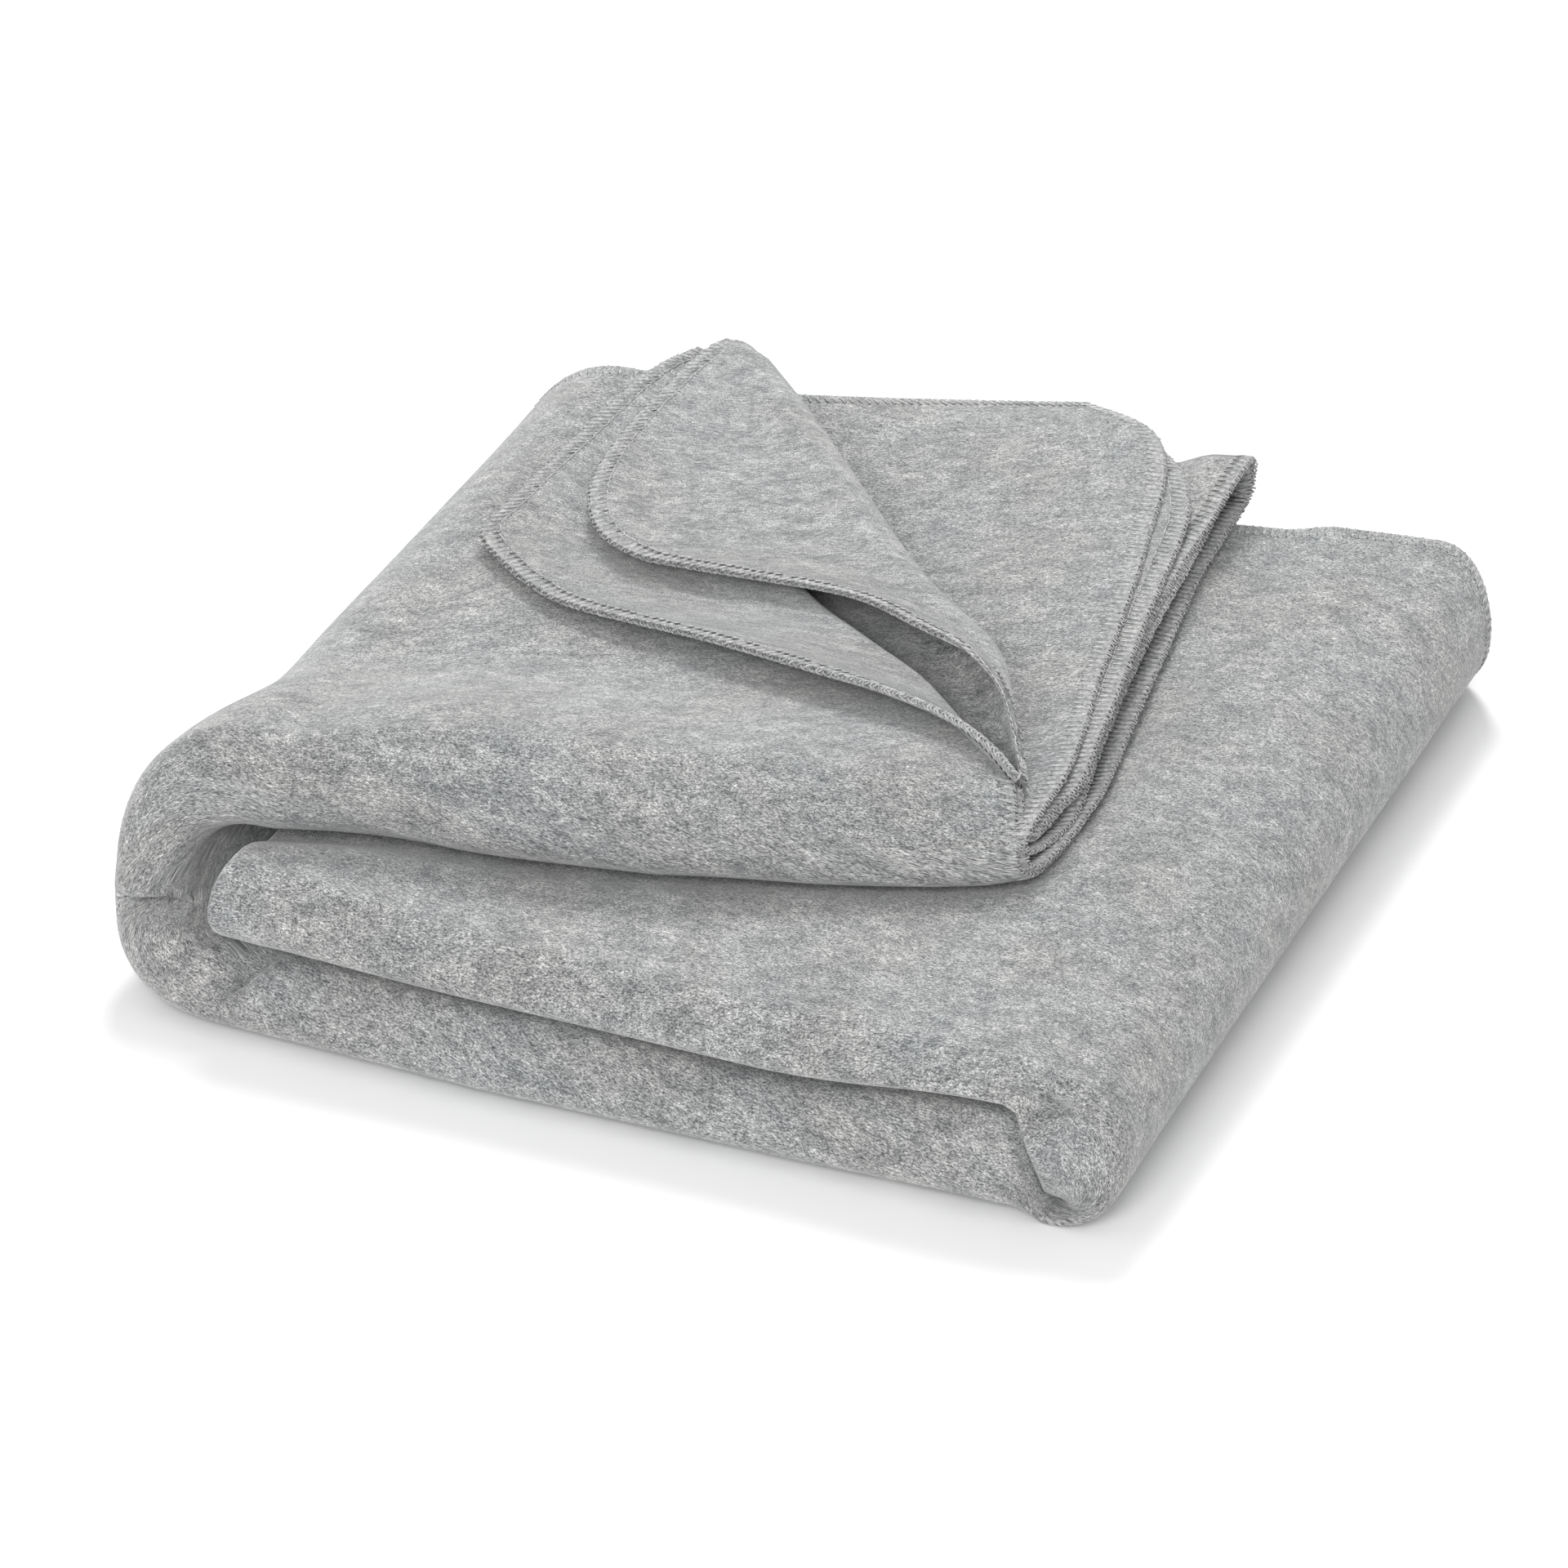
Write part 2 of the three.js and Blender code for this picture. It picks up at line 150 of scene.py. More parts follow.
# The open end of the upper third: for each layer, counted from the outside of the roll, points (x, y)
# from its front to its back. Layers 0 and 1 end at the crease of the turned-back corner.
CREASE = {
    0: [(90, -55), (63, -38), (37, -20), (10, -6), (-24, 16), (-66, 68), (-110, 146)],
    1: [(91, -54), (69, -31), (48, -10), (23, 13), (-4, 42), (-63, 106), (-104, 148)],
}
OPEN_END = {
    2: [(96, -62), (99, -43), (94, -11), (86, 24), (79, 63), (71, 101), (66, 122), (60, 149), (51, 173),
        (38, 188), (12, 195)],
    3: [(93, -62), (99, -46), (102, -32), (98, -5), (92, 31), (85, 70), (79, 108), (74, 137), (69, 151),
        (60, 168), (45, 180), (20, 188)],
    4: [(94, -62), (100, -45), (102, -26), (96, 2), (90, 40), (84, 82), (81, 115), (80, 134),
        (80, 161), (80, 190)],
    5: [(101, -64), (103, -42), (101, -22), (96, 6), (90, 44), (85, 86), (82, 119), (80, 138),
        (79, 156), (79, 190)],
    6: [(104, -60), (105, -39), (104, -14), (98, 22), (93, 54), (89, 84), (84, 117), (82, 135), (81, 152),
        (80, 165), (79, 190)],
    7: [(103, -66), (104, -36), (102, -9), (96, 25), (92, 58), (87, 88), (82, 120), (80, 137), (80, 150),
        (79, 166), (78, 190)],
}


# ---------- how high each layer lies ----------
EVEN = (np.arange(LAYERS) + 0.5) / LAYERS
OPENED = np.array([0.04, 0.125, 0.24, 0.325, 0.46, 0.55, 0.885, 0.965])
OPENED_FRONT = np.array([0.04, 0.125, 0.21, 0.41, 0.50, 0.79, 0.88, 0.965])


def pressed(x, y):
    """1 where the upper third lies on the middle third."""
    inside = smooth((y - FRONT["upper"](x) + 4) / 18)
    return inside * (1 - smooth((x - 97) / 18))


def ridge(x, y):
    """The upper third's front fold stands up above the rest of it."""
    behind = y - FRONT["upper"](x)
    height = line(x, [(-177, 6), (-140, 9), (-100, 13.5), (-50, 12.5), (10, 9), (60, 3), (95, 0)])
    return height * smooth(behind / 16) * (1 - smooth((behind - 30) / 66))


def fold_depth(third, x):
    """The upper third's front fold gets deeper towards its open end."""
    if third == "upper":
        return line(x, [(-130, 17), (-60, 27), (20, 33), (110, 34)])
    return np.full(np.shape(x), FOLD_DEPTH[third])


def middle_top(x, y):
    """The middle third's front fold is puffed where the upper third doesn't press on it, at its left."""
    clear = 1 - smooth((y - FRONT["upper"](x) + 12) / 24)
    puff = 7.0 * clear * (1 - smooth((x + 145) / 100))
    return MIDDLE_TOP - 0.6 - 3.4 * pressed(x, y) + puff + 0.8 * uneven(x, y, 120, 6)


def tuck(x, y):
    """How far the crease between the lower and middle thirds is raised, near the front: a little
    towards the right, and then it turns down to the floor, with the middle third in front of it."""
    near = 1 - smooth((y - FRONT["lower"](x) - 16) / 34)
    return near * (8 * smooth((x - 50) / 80) - 36 * smooth((x - 138) / 16))


def gap(x, y):
    """The lower third's front fold is pressed a little away from the middle third above it."""
    near = 1 - smooth((y - FRONT["lower"](x) - 14) / 24)
    return near * (1.2 + 3.2 * smooth((x + 70) / 170)) * (1 - smooth((x - 136) / 12))


def upper_low(x, y):
    """The upper third's front fold doesn't quite touch the middle third at the left."""
    lip = 5.0 * (1 - smooth((x + 150) / 90)) * (1 - smooth((y - FRONT["upper"](x)) / 50))
    return middle_top(x, y) + 0.7 + lip


def upper_top(x, y):
    return 77.2 - 2.2 * smooth((x - 20) / 90) + ridge(x, y) + 1.0 * uneven(x, y, 130, 12)


def back_roll(k, x, y):
    """Where leaf 4 doesn't cover it, the back fold of leaves 2 and 3 is rounder."""
    return 5.0 * np.interp(k, [3, 4, 5, 6], [0, 1, 1, 0]) * smooth((x - 52) / 16) * smooth((y - 135) / 40)


def level(third, cols, x, y):
    """The height of each column at a place in one third."""
    even = cols.between(EVEN)
    if third == "lower":
        top = LOWER_TOP + 0.5 * uneven(x, y, 110) + tuck(x, y) - gap(x, y)
        return LOWER_LOW + even * (top - LOWER_LOW)
    if third == "middle":
        top = middle_top(x, y)
        return top - even * (top - MIDDLE_LOW - tuck(x, y))
    behind = y - FRONT["upper"](x) - fold_depth("upper", x)
    back_share, front_share = cols.between(OPENED), cols.between(OPENED_FRONT)
    opened = front_share + (back_share - front_share) * smooth(behind / 45)
    share = even + (opened - even) * smooth((x + 60) / 120)
    top, low = upper_top(x, y), upper_low(x, y)
    return top - share * (top - low) + back_roll(cols.k, x, y)


# ---------- the columns: once across the cloth's width ----------
LEAF_1, FRONT_FOLD, INNER_LEAF, BACK_FOLD_STEPS, INNER_FOLD, LEAF_4 = 66, 30, 30, 12, 12, 60


class Columns:
    """k: layer; e: place from the front (0) to the back (1).
    In a fold, side is -1 at the front and 1 at the back, turn goes from 0 to pi round it, from layer
    first to layer last, and share from 0 to 1."""

    def __init__(self, leaves):
        k1, k2, k3, k4 = leaves
        rows = []
        self.leaf(rows, k1, 1, 0, LEAF_1, True)
        self.fold(rows, k1, k2, -1, FRONT_FOLD)
        self.leaf(rows, k2, 0, 1, INNER_LEAF, False)
        self.fold(rows, k2, k3, 1, BACK_FOLD_STEPS)
        self.leaf(rows, k3, 1, 0, INNER_LEAF, False)
        self.fold(rows, k3, k4, -1, INNER_FOLD)
        self.leaf(rows, k4, 0, 1, LEAF_4, True)
        self.first, self.last, self.e, self.side, self.turn, self.free = np.array(rows, float).T
        self.share = (1 - np.cos(self.turn)) / 2
        self.span = np.abs(self.last - self.first) / (LAYERS - 1)
        self.k = self.between(np.arange(LAYERS))
        self.leaf_1 = slice(0, LEAF_1 + 1)
        self.leaves = leaves

    @staticmethod
    def leaf(rows, k, e0, e1, steps, free):
        for t in np.linspace(0, 1, steps + 1):
            e = e0 + (e1 - e0) * t
            if free and e >= 0.5:   # closer together near the free edge, where the cloth's corner is round
                e = 1 - (1 - e) ** 1.25 * 0.5 ** -0.25
            rows.append((k, k, e, 0, 0, free))

    @staticmethod
    def fold(rows, first, last, side, steps):
        for t in np.linspace(0, 1, steps + 1)[1:-1]:
            rows.append((first, last, 0 if side < 0 else 1, side, math.pi * t, False))

    def between(self, values):
        """Values given for each layer, carried on evenly round the folds."""
        values = np.asarray(values, float)
        first, last = values[self.first.astype(int)], values[self.last.astype(int)]
        return first + (last - first) * self.share

    def bulge(self, depth):
        """How far each fold's column stands out, where the outermost fold's depth is depth."""
        innermost = np.where(self.span < 0.2, 5, 0)
        inside = np.maximum(depth - (1 - self.span) * 9.0 - innermost, depth * self.span / 4)
        return np.sin(self.turn) * np.where(self.side < 0, inside, BACK_DEPTH * self.span * 7 / 3)


COLUMNS = {"outer": Columns((0, 7, 4, 3)), "inner": Columns((1, 6, 5, 2))}


def lying(third, x, cols):
    """Points of one third at x, given for each row, or for each row and column."""
    x = np.broadcast_to(x if np.ndim(x) == 2 else np.asarray(x)[:, None], (len(x), len(cols.k)))
    depth = fold_depth(third, x)
    front = FRONT[third](x) + depth + CLOTH / 2
    back = np.where(cols.free > 0, BACK_FREE[third](x), BACK_FOLD[third](x) - BACK_DEPTH)
    y = front + cols.e * (back - front)
    z = level(third, cols, x, y)
    skew = np.where(cols.side < 0, FOLD_SKEW[third], 0)
    bulge = cols.bulge(depth) * (1 + skew * np.cos(cols.turn))
    return np.stack([x, y + cols.side * bulge, z], -1)


def turning(foot, head, t, reach, side, square, draw_in):
    """Rows round an end fold, from foot to head, which are one row of points each.
    At its back the cloth is drawn in towards the front by draw_in."""
    t = t[:, None]
    angle = math.pi * t
    out = np.sin(angle) ** (2 / square)
    rise = -np.sign(np.cos(angle)) * np.abs(np.cos(angle)) ** (2 / square)
    middle, half = (foot[:, 2] + head[:, 2]) / 2, (head[:, 2] - foot[:, 2]) / 2
    across = foot[:, 1] + (head[:, 1] - foot[:, 1]) * smooth(t)
    from_back = (foot[:, 1] + head[:, 1]) / 2
    across = across - draw_in * np.sin(angle) ** 2 * smooth((from_back - from_back.max() + 90) / 90)
    x = (foot[:, 0] + head[:, 0]) / 2 + side * reach * out
    return np.stack([x, across, middle + half * rise], -1)


def end_x(cols):
    """Where each column of the upper third ends."""
    ends = {}
    for layer, points in {**CREASE, **OPEN_END}.items():
        p = spline(points, 90)
        x, y = p[:, 0], p[:, 1]
        start = FRONT["upper"](x) + fold_depth("upper", x) + CLOTH / 2
        free = layer in (0, 1, 2, 3)
        stop = BACK_FREE["upper"](x) if free else BACK_FOLD["upper"](x) - BACK_DEPTH
        ends[layer] = ((y - start) / (stop - start), x)
    first = np.array([np.interp(e, *ends[int(k)]) for k, e in zip(cols.first, cols.e)])
    last = np.array([np.interp(e, *ends[int(k)]) for k, e in zip(cols.last, cols.e)])
    return first + (last - first) * np.sin(cols.turn / 2)


ROWS_FLAT, ROWS_RIGHT, ROWS_LEFT, ROWS_UPPER = 56, 26, 56, 62
CUT_X = -112.0           # where the parts that bend with the left fold begin
CUT_ROW = 6
LEFT_PUFF = 12.0         # the left fold stands out further at its front


def layer_rows(name):
    """All rows of one layer, from the hidden end of the middle third to the open end."""
    cols = COLUMNS[name]
    start = HIDDEN_END_X + 2.5 - 5.5 * np.sin(math.pi * (cols.k + 0.3) / (LAYERS - 0.4)) ** 0.5
    t = np.linspace(0, 1, ROWS_FLAT)[:, None]
    middle = lying("middle", start + (RIGHT_FOLD_X - start) * t, cols)
    lower_x = np.concatenate([np.linspace(RIGHT_FOLD_X, CUT_X, ROWS_FLAT - CUT_ROW),
                              np.linspace(CUT_X, LEFT_FOLD_X, CUT_ROW + 1)[1:]])
    lower = lying("lower", lower_x, cols)
    finish = end_x(cols)
    u = np.concatenate([np.linspace(0, CUT_X - LEFT_FOLD_X, CUT_ROW) / 200,
                        np.linspace((CUT_X - LEFT_FOLD_X) / 200, 1, ROWS_UPPER - CUT_ROW + 1)[1:]])
    upper = lying("upper", LEFT_FOLD_X + (finish - LEFT_FOLD_X) * u[:, None], cols)

    thickness = (LOWER_TOP - LOWER_LOW) / LAYERS
    fold_front = 1 - smooth((middle[-1][:, 1] - middle[-1][:, 1].min() - 10) / 60)
    reach_right = (RIGHT_X - RIGHT_FOLD_X - CLOTH / 2) * (1 - (cols.k / 7.6) ** (1 + 0.65 * fold_front))
    near_front = 1 - smooth((lower[-1][:, 1] - lower[-1][:, 1].min() - 10) / 70)
    reach_left = (LEFT_FOLD_X - LEFT_X - CLOTH / 2) - cols.k * thickness + LEFT_PUFF * near_front
    right = turning(lower[0], middle[-1], np.linspace(0, 1, ROWS_RIGHT)[::-1], reach_right, 1, 2.1, 15)
    left = turning(lower[-1], upper[0], np.linspace(0, 1, ROWS_LEFT), reach_left, -1, 2.6, 10)
    rows = np.concatenate([middle, right[1:-1], lower, left[1:-1], upper])
    marks = {"lower": len(middle) + ROWS_RIGHT - 2}
    marks["cut_low"] = marks["lower"] + ROWS_FLAT - CUT_ROW - 1
    marks["left"] = marks["lower"] + ROWS_FLAT - 1
    marks["cut_wall"] = marks["left"] + ROWS_LEFT // 2
    marks["upper"] = marks["left"] + ROWS_LEFT - 1
    marks["cut_high"] = marks["upper"] + CUT_ROW - 1
    return rows, marks


def half_fold(outer, inner):
    """The few rows that join the two layers at the hidden end."""
    middle, half = (outer + inner) / 2, (outer - inner) / 2
    rows = []
    for angle in np.linspace(0, math.pi, 7)[1:-1]:
        p = middle + half * math.cos(angle)
        p[:, 0] -= 1.8 * math.sin(angle)
        rows.append(p)
    return np.array(rows)


# ---------- the turned-back corner ----------
# The top of the curl and the cloth's free edge, from the front tip to the back, as (x, y, z).
CURL_TOP = {
    0: [(90, -55, 77.5), (63, -39, 82.5), (37, -21, 84), (10, -7, 85), (-24, 15, 85), (-66, 67, 85.5),
        (-111, 146, 85)],
    1: [(91, -53.5, 78), (80, -36, 86.5), (67, -20, 92), (52, -6, 95), (24, 15, 95), (-5, 43, 94),
        (-63, 106, 93.5), (-104, 149, 92)],
}
FREE_EDGE = {
    0: [(90, -55.5, 77.5), (80, -49.5, 82), (67, -43, 84.5), (51, -39, 86.5), (30, -37, 88), (9, -35.5, 88),
        (-36, -29, 86), (-87, -23, 82.5),
        (-108, -15, 82), (-127, -2, 82), (-137, 9, 82.5), (-135, 30, 84), (-131, 97, 85), (-127, 132, 85),
        (-119, 150, 85)],
    1: [(91, -54, 78), (87, -47, 81), (79, -35, 87), (68, -22, 92), (52, -12, 94.5), (30, -4, 94.5),
        (9, 5, 93), (-12, 7, 92), (-60, 4, 90.5), (-77, 4, 90.5), (-95, 14, 90.5), (-108, 36, 91),
        (-113, 64, 91.5),
        (-113, 98, 92), (-111, 138, 92), (-107, 149, 92)],
}
CURL_STEPS, FLAP_STEPS = 12, 26


def flap_rows(k, start):
    """The turned-back part of layer k, from the crease, where its cloth starts, to its free edge."""
    count = len(start)
    top = spline(CURL_TOP[k], count)[::-1]       # columns run from the back to the front
    edge = spline(FREE_EDGE[k], count)[::-1]
    place = np.linspace(1, 0, count)[:, None]
    along = np.gradient(start, axis=0)
    out = np.stack([along[:, 1], -along[:, 0], 0 * along[:, 0]], 1)
    out = -out / np.linalg.norm(out, axis=1, keepdims=True)
    rise = (top[:, 2:] - start[:, 2:])
    turned = smooth((place - 0.04) / 0.2)
    up = np.array([[0, 0, 1.0]])
    first = start + out * rise * 0.66
    second = top + out * rise * 0.66 * turned - up * rise * 0.3 * (1 - turned)
    rows = []
    for t in np.linspace(0, 1, CURL_STEPS)[1:]:
        rows.append((1 - t) ** 3 * start + 3 * (1 - t) ** 2 * t * first
                    + 3 * (1 - t) * t ** 2 * second + t ** 3 * top)
    width = np.linalg.norm(edge - top, axis=1, keepdims=True)
    for t in np.linspace(0, 1, FLAP_STEPS)[1:]:
        p = top + (edge - top) * t
        p[:, 2] += (-0.9 * np.sin(math.pi * t) * smooth(width[:, 0] / 60)
                    + 0.7 * uneven(p[:, 0], p[:, 1], 70, 3 * k) * math.sin(math.pi * t))
        rows.append(p)
    return np.array(rows)


# ---------- small wrinkles, given as dents along a line on the surface ----------
DENTS = [
    # from, to (x, y, z), half width, depth, direction
    ((147, -176, 40), (161, -173, 39), 2.8, 4.5, (-0.2, 1, 0.1)),
    ((144, -180, 30), (152, -181, 26), 4.5, -1.8, (0, 1, 0)),
    ((-196, -183, 31), (-158, -176, 33), 3.0, 11.0, (0.3, 0.9, 0.1)),
    ((-166, -179, 33), (-146, -166, 39), 3.0, 10.0, (0.6, 0.6, -0.1)),
    ((-188, -182, 39), (-158, -174, 41), 4.5, -5.5, (0.4, 0.8, 0.4)),
    ((-172, -186, 24), (-152, -180, 27), 4.5, -3.0, (0.3, 0.9, -0.3)),
    ((-126, -177, 29), (-141, -192, 15), 3.6, 12.0, (0.4, 0.6, -0.7)),
    ((-150, -184, 26), (-144, -188, 19), 4.5, -4.0, (0.2, 0.7, -0.5)),
    ((-128, -157, 62), (-90, -140, 58), 7.0, 2.0, (0, 1, 0)),
]


def dented(points):
    moved = points.copy()
    for start, stop, half, depth, direction in DENTS:
        a, b = np.array(start, float), np.array(stop, float)
        t = np.clip(((points - a) @ (b - a)) / ((b - a) @ (b - a)), 0, 1)
        gap = np.linalg.norm(points - (a + t[..., None] * (b - a)), axis=-1)
        share = np.exp(-(gap / half) ** 2 / 2) * np.sin(math.pi * (0.12 + 0.88 * (1 - abs(2 * t - 1)) / 2))
        moved += depth * share[..., None] * np.array(direction, float)
    return moved


# ---------- meshes ----------
def surface_normals(grid):
    down, across = np.gradient(grid, axis=0), np.gradient(grid, axis=1)
    n = np.cross(down, across)
    return n / np.maximum(np.linalg.norm(n, axis=-1, keepdims=True), 1e-9)


def flat_places(grid, row, columns, layer_offset):
    """Where each grid point lies on the flat cloth, in metres: along its length from the given row, and
    across its width from the given columns, one for each group of columns."""
    along = np.zeros(grid.shape[:2])
    along[1:] = np.cumsum(np.linalg.norm(np.diff(grid, axis=0), axis=-1), axis=0)
    along -= along[row:row + 1]
    across = np.zeros(grid.shape[:2])
    across[:, 1:] = np.cumsum(np.linalg.norm(np.diff(grid, axis=1), axis=-1), axis=1)
    groups = [*columns, (grid.shape[1], 0)]
    result = across.copy()
    for (first, origin), (stop, _) in zip(groups, groups[1:]):
        result[:, first:stop] = across[:, first:stop] - across[:, origin:origin + 1] + first * 7.3
    return np.stack([along, result, np.full(along.shape, float(layer_offset))], -1) * MM


def cloth_piece(name, grid, normals, flat):
    """A sheet with the cloth's thickness: two surfaces and a rim all round."""
    rows, columns = grid.shape[:2]
    upper = (grid + normals * CLOTH / 2).reshape(-1, 3)
    lower = (grid - normals * CLOTH / 2).reshape(-1, 3)
    for surface in (upper, lower):   # nothing goes below the floor
        surface[:, 2] = np.maximum(surface[:, 2], 0)
    index = np.arange(rows * columns).reshape(rows, columns)
    quads = np.stack([index[:-1, :-1], index[1:, :-1], index[1:, 1:], index[:-1, 1:]], -1).reshape(-1, 4)
    count = rows * columns
    border = np.concatenate([index[0, :-1], index[:-1, -1], index[-1, :0:-1], index[:0:-1, 0]])
    following = np.roll(border, -1)
    rim = np.stack([border, following, following + count, border + count], -1)
    faces = np.concatenate([quads, quads[:, ::-1] + count, rim])
    mesh = bpy.data.meshes.new(name)
    mesh.from_pydata((np.concatenate([upper, lower]) * MM).tolist(), [], faces.tolist())
    mesh.shade_smooth()
    corner_edges = {tuple(sorted(pair)) for pair in zip(border.tolist(), following.tolist())}
    corner_edges |= {(a + count, b + count) for a, b in corner_edges}
    for edge in mesh.edges:
        if tuple(sorted(edge.vertices)) in corner_edges:
            edge.use_edge_sharp = True
    place = mesh.attributes.new("flat_place", "FLOAT_VECTOR", "POINT")
    both = np.concatenate([flat.reshape(-1, 3), flat.reshape(-1, 3) + [0, 0, CLOTH * MM]])
    place.data.foreach_set("vector", both.astype(np.float32).ravel())
    mesh.update()
    piece = bpy.data.objects.new(name, mesh)
    bpy.context.scene.collection.objects.link(piece)
    piece.data.materials.append(FLEECE)
    return piece


# ---------- overlock stitches ----------
def evenly(points, extra, step):
    """A line resampled at even steps, with the vectors that belong to its points."""
    along = np.concatenate([[0], np.cumsum(np.linalg.norm(np.diff(points, axis=0), axis=1))])
    count = max(2, int(round(along[-1] / step)) + 1)
    where = np.linspace(0, along[-1], count)
    every = np.concatenate([points, *extra], axis=1)
    out = np.stack([np.interp(where, along, every[:, i]) for i in range(every.shape[1])], 1)
    return [out[:, i:i + 3] for i in range(0, out.shape[1], 3)]


# One stitch of the two looper threads: (place along the stitch, distance in from the edge, height).
LOOPER = [(0.00, 0.95, 1.0), (0.10, 0.45, 1.05), (0.20, -0.02, 0.8), (0.30, -0.16, 0.0),
          (0.40, -0.02, -0.8), (0.50, 0.95, -1.0), (0.62, 0.45, -1.05), (0.72, -0.02, -0.8),
          (0.80, -0.16, 0.0), (0.88, -0.02, 0.8), (0.94, 0.45, 1.05)]
NEEDLE = [(0.05, 0.98, 0.9), (0.3, 0.98, 1.12), (0.7, 0.98, 1.12), (0.95, 0.98, 0.9)]


def tube(points, radius, sides):
    """A thin thread along points. Its section has sides sides."""
    along = np.gradient(points, axis=0)
    along /= np.maximum(np.linalg.norm(along, axis=1, keepdims=True), 1e-9)
    side = np.cross(along, np.array([0.31, 0.17, 0.93]))
    side /= np.maximum(np.linalg.norm(side, axis=1, keepdims=True), 1e-9)
    other = np.cross(along, side)
    ring = [points + radius * (side * math.cos(a) + other * math.sin(a))
            for a in np.arange(sides) * 2 * math.pi / sides]
    vertices = np.stack(ring, 1).reshape(-1, 3)
    i = np.arange(len(points) - 1)[:, None] * sides
    j = np.arange(sides)
    nxt = (j + 1) % sides
    quads = np.stack([i + j, i + nxt, i + sides + nxt, i + sides + j], -1).reshape(-1, 4)
    caps = [list(range(sides))[::-1], [len(vertices) - sides + n for n in range(sides)]]
    return vertices, quads.tolist() + caps


def overlock_piece(name, edge, inward, normal):
    """The stitches over one cut edge. inward points into the cloth, normal out of its face."""
    edge, inward, normal = evenly(edge, [inward, normal], STITCH)
    inward /= np.linalg.norm(inward, axis=1, keepdims=True)
    normal /= np.linalg.norm(normal, axis=1, keepdims=True)
    n = len(edge) - 1
    jitter = np.random.default_rng(len(name) * 101 + n)
    vertices, faces, total = [], [], 0
    for pattern, radius in ((LOOPER, THREAD), (NEEDLE, THREAD * 0.8)):
        stations = np.array([(i + a, d, h) for i in range(n) for a, d, h in pattern])
        stations = stations[stations[:, 0] <= n]
        stations[:, 1] += jitter.normal(0, 0.035, len(stations))
        stations[:, 0] = np.clip(stations[:, 0] + jitter.normal(0, 0.03, len(stations)), 0, n)
        at = stations[:, 0]
        point, into, out = [np.stack([np.interp(at, np.arange(n + 1), v[:, c]) for c in range(3)], 1)
                            for v in (edge, inward, normal)]
        height = stations[:, 2:] * (CLOTH / 2 + 0.08)
        path = point + into * stations[:, 1:2] * SEAM + out * height
        made, quads = tube(path, radius, 4)
        faces += [[v + total for v in quad] for quad in quads]
        vertices.append(made)
        total += len(made)
    mesh = bpy.data.meshes.new(name)
    mesh.from_pydata((np.concatenate(vertices) * MM).tolist(), [], faces)
    mesh.shade_smooth()
    piece = bpy.data.objects.new(name, mesh)
    bpy.context.scene.collection.objects.link(piece)
    piece.data.materials.append(THREAD_MATERIAL)
    return piece


# ---------- materials ----------
def node(tree, kind, **values):
    made = tree.nodes.new(kind)
    for key, value in values.items():
        if key in made.inputs:
            made.inputs[key].default_value = value
        else:
            setattr(made, key, value)
    return made


def ramp(tree, stops):
    made = tree.nodes.new("ShaderNodeValToRGB")
    elements = made.color_ramp.elements
    while len(elements) < len(stops):
        elements.new(0.5)
    for element, (place, colour) in zip(elements, stops):
        element.position = place
        element.color = (*colour, 1)
    return made


def noise(tree, vector, scale, stretch, detail, rough=0.55):
    """A noise that is stretched along the cloth by stretch = (along, across, between layers)."""
    mapping = node(tree, "ShaderNodeMapping")
    mapping.inputs["Scale"].default_value = [scale * s for s in stretch]
    made = node(tree, "ShaderNodeTexNoise", Detail=detail, Roughness=rough, Scale=1.0)
    tree.links.new(vector, mapping.inputs["Vector"])
    tree.links.new(mapping.outputs[0], made.inputs["Vector"])
    return made.outputs["Fac"]


def mix(tree, kind, factor, a, b):
    made = node(tree, "ShaderNodeMix", data_type="RGBA", blend_type=kind)
    made.inputs["Factor"].default_value = factor
    tree.links.new(a, made.inputs["A"])
    tree.links.new(b, made.inputs["B"])
    return made.outputs["Result"]


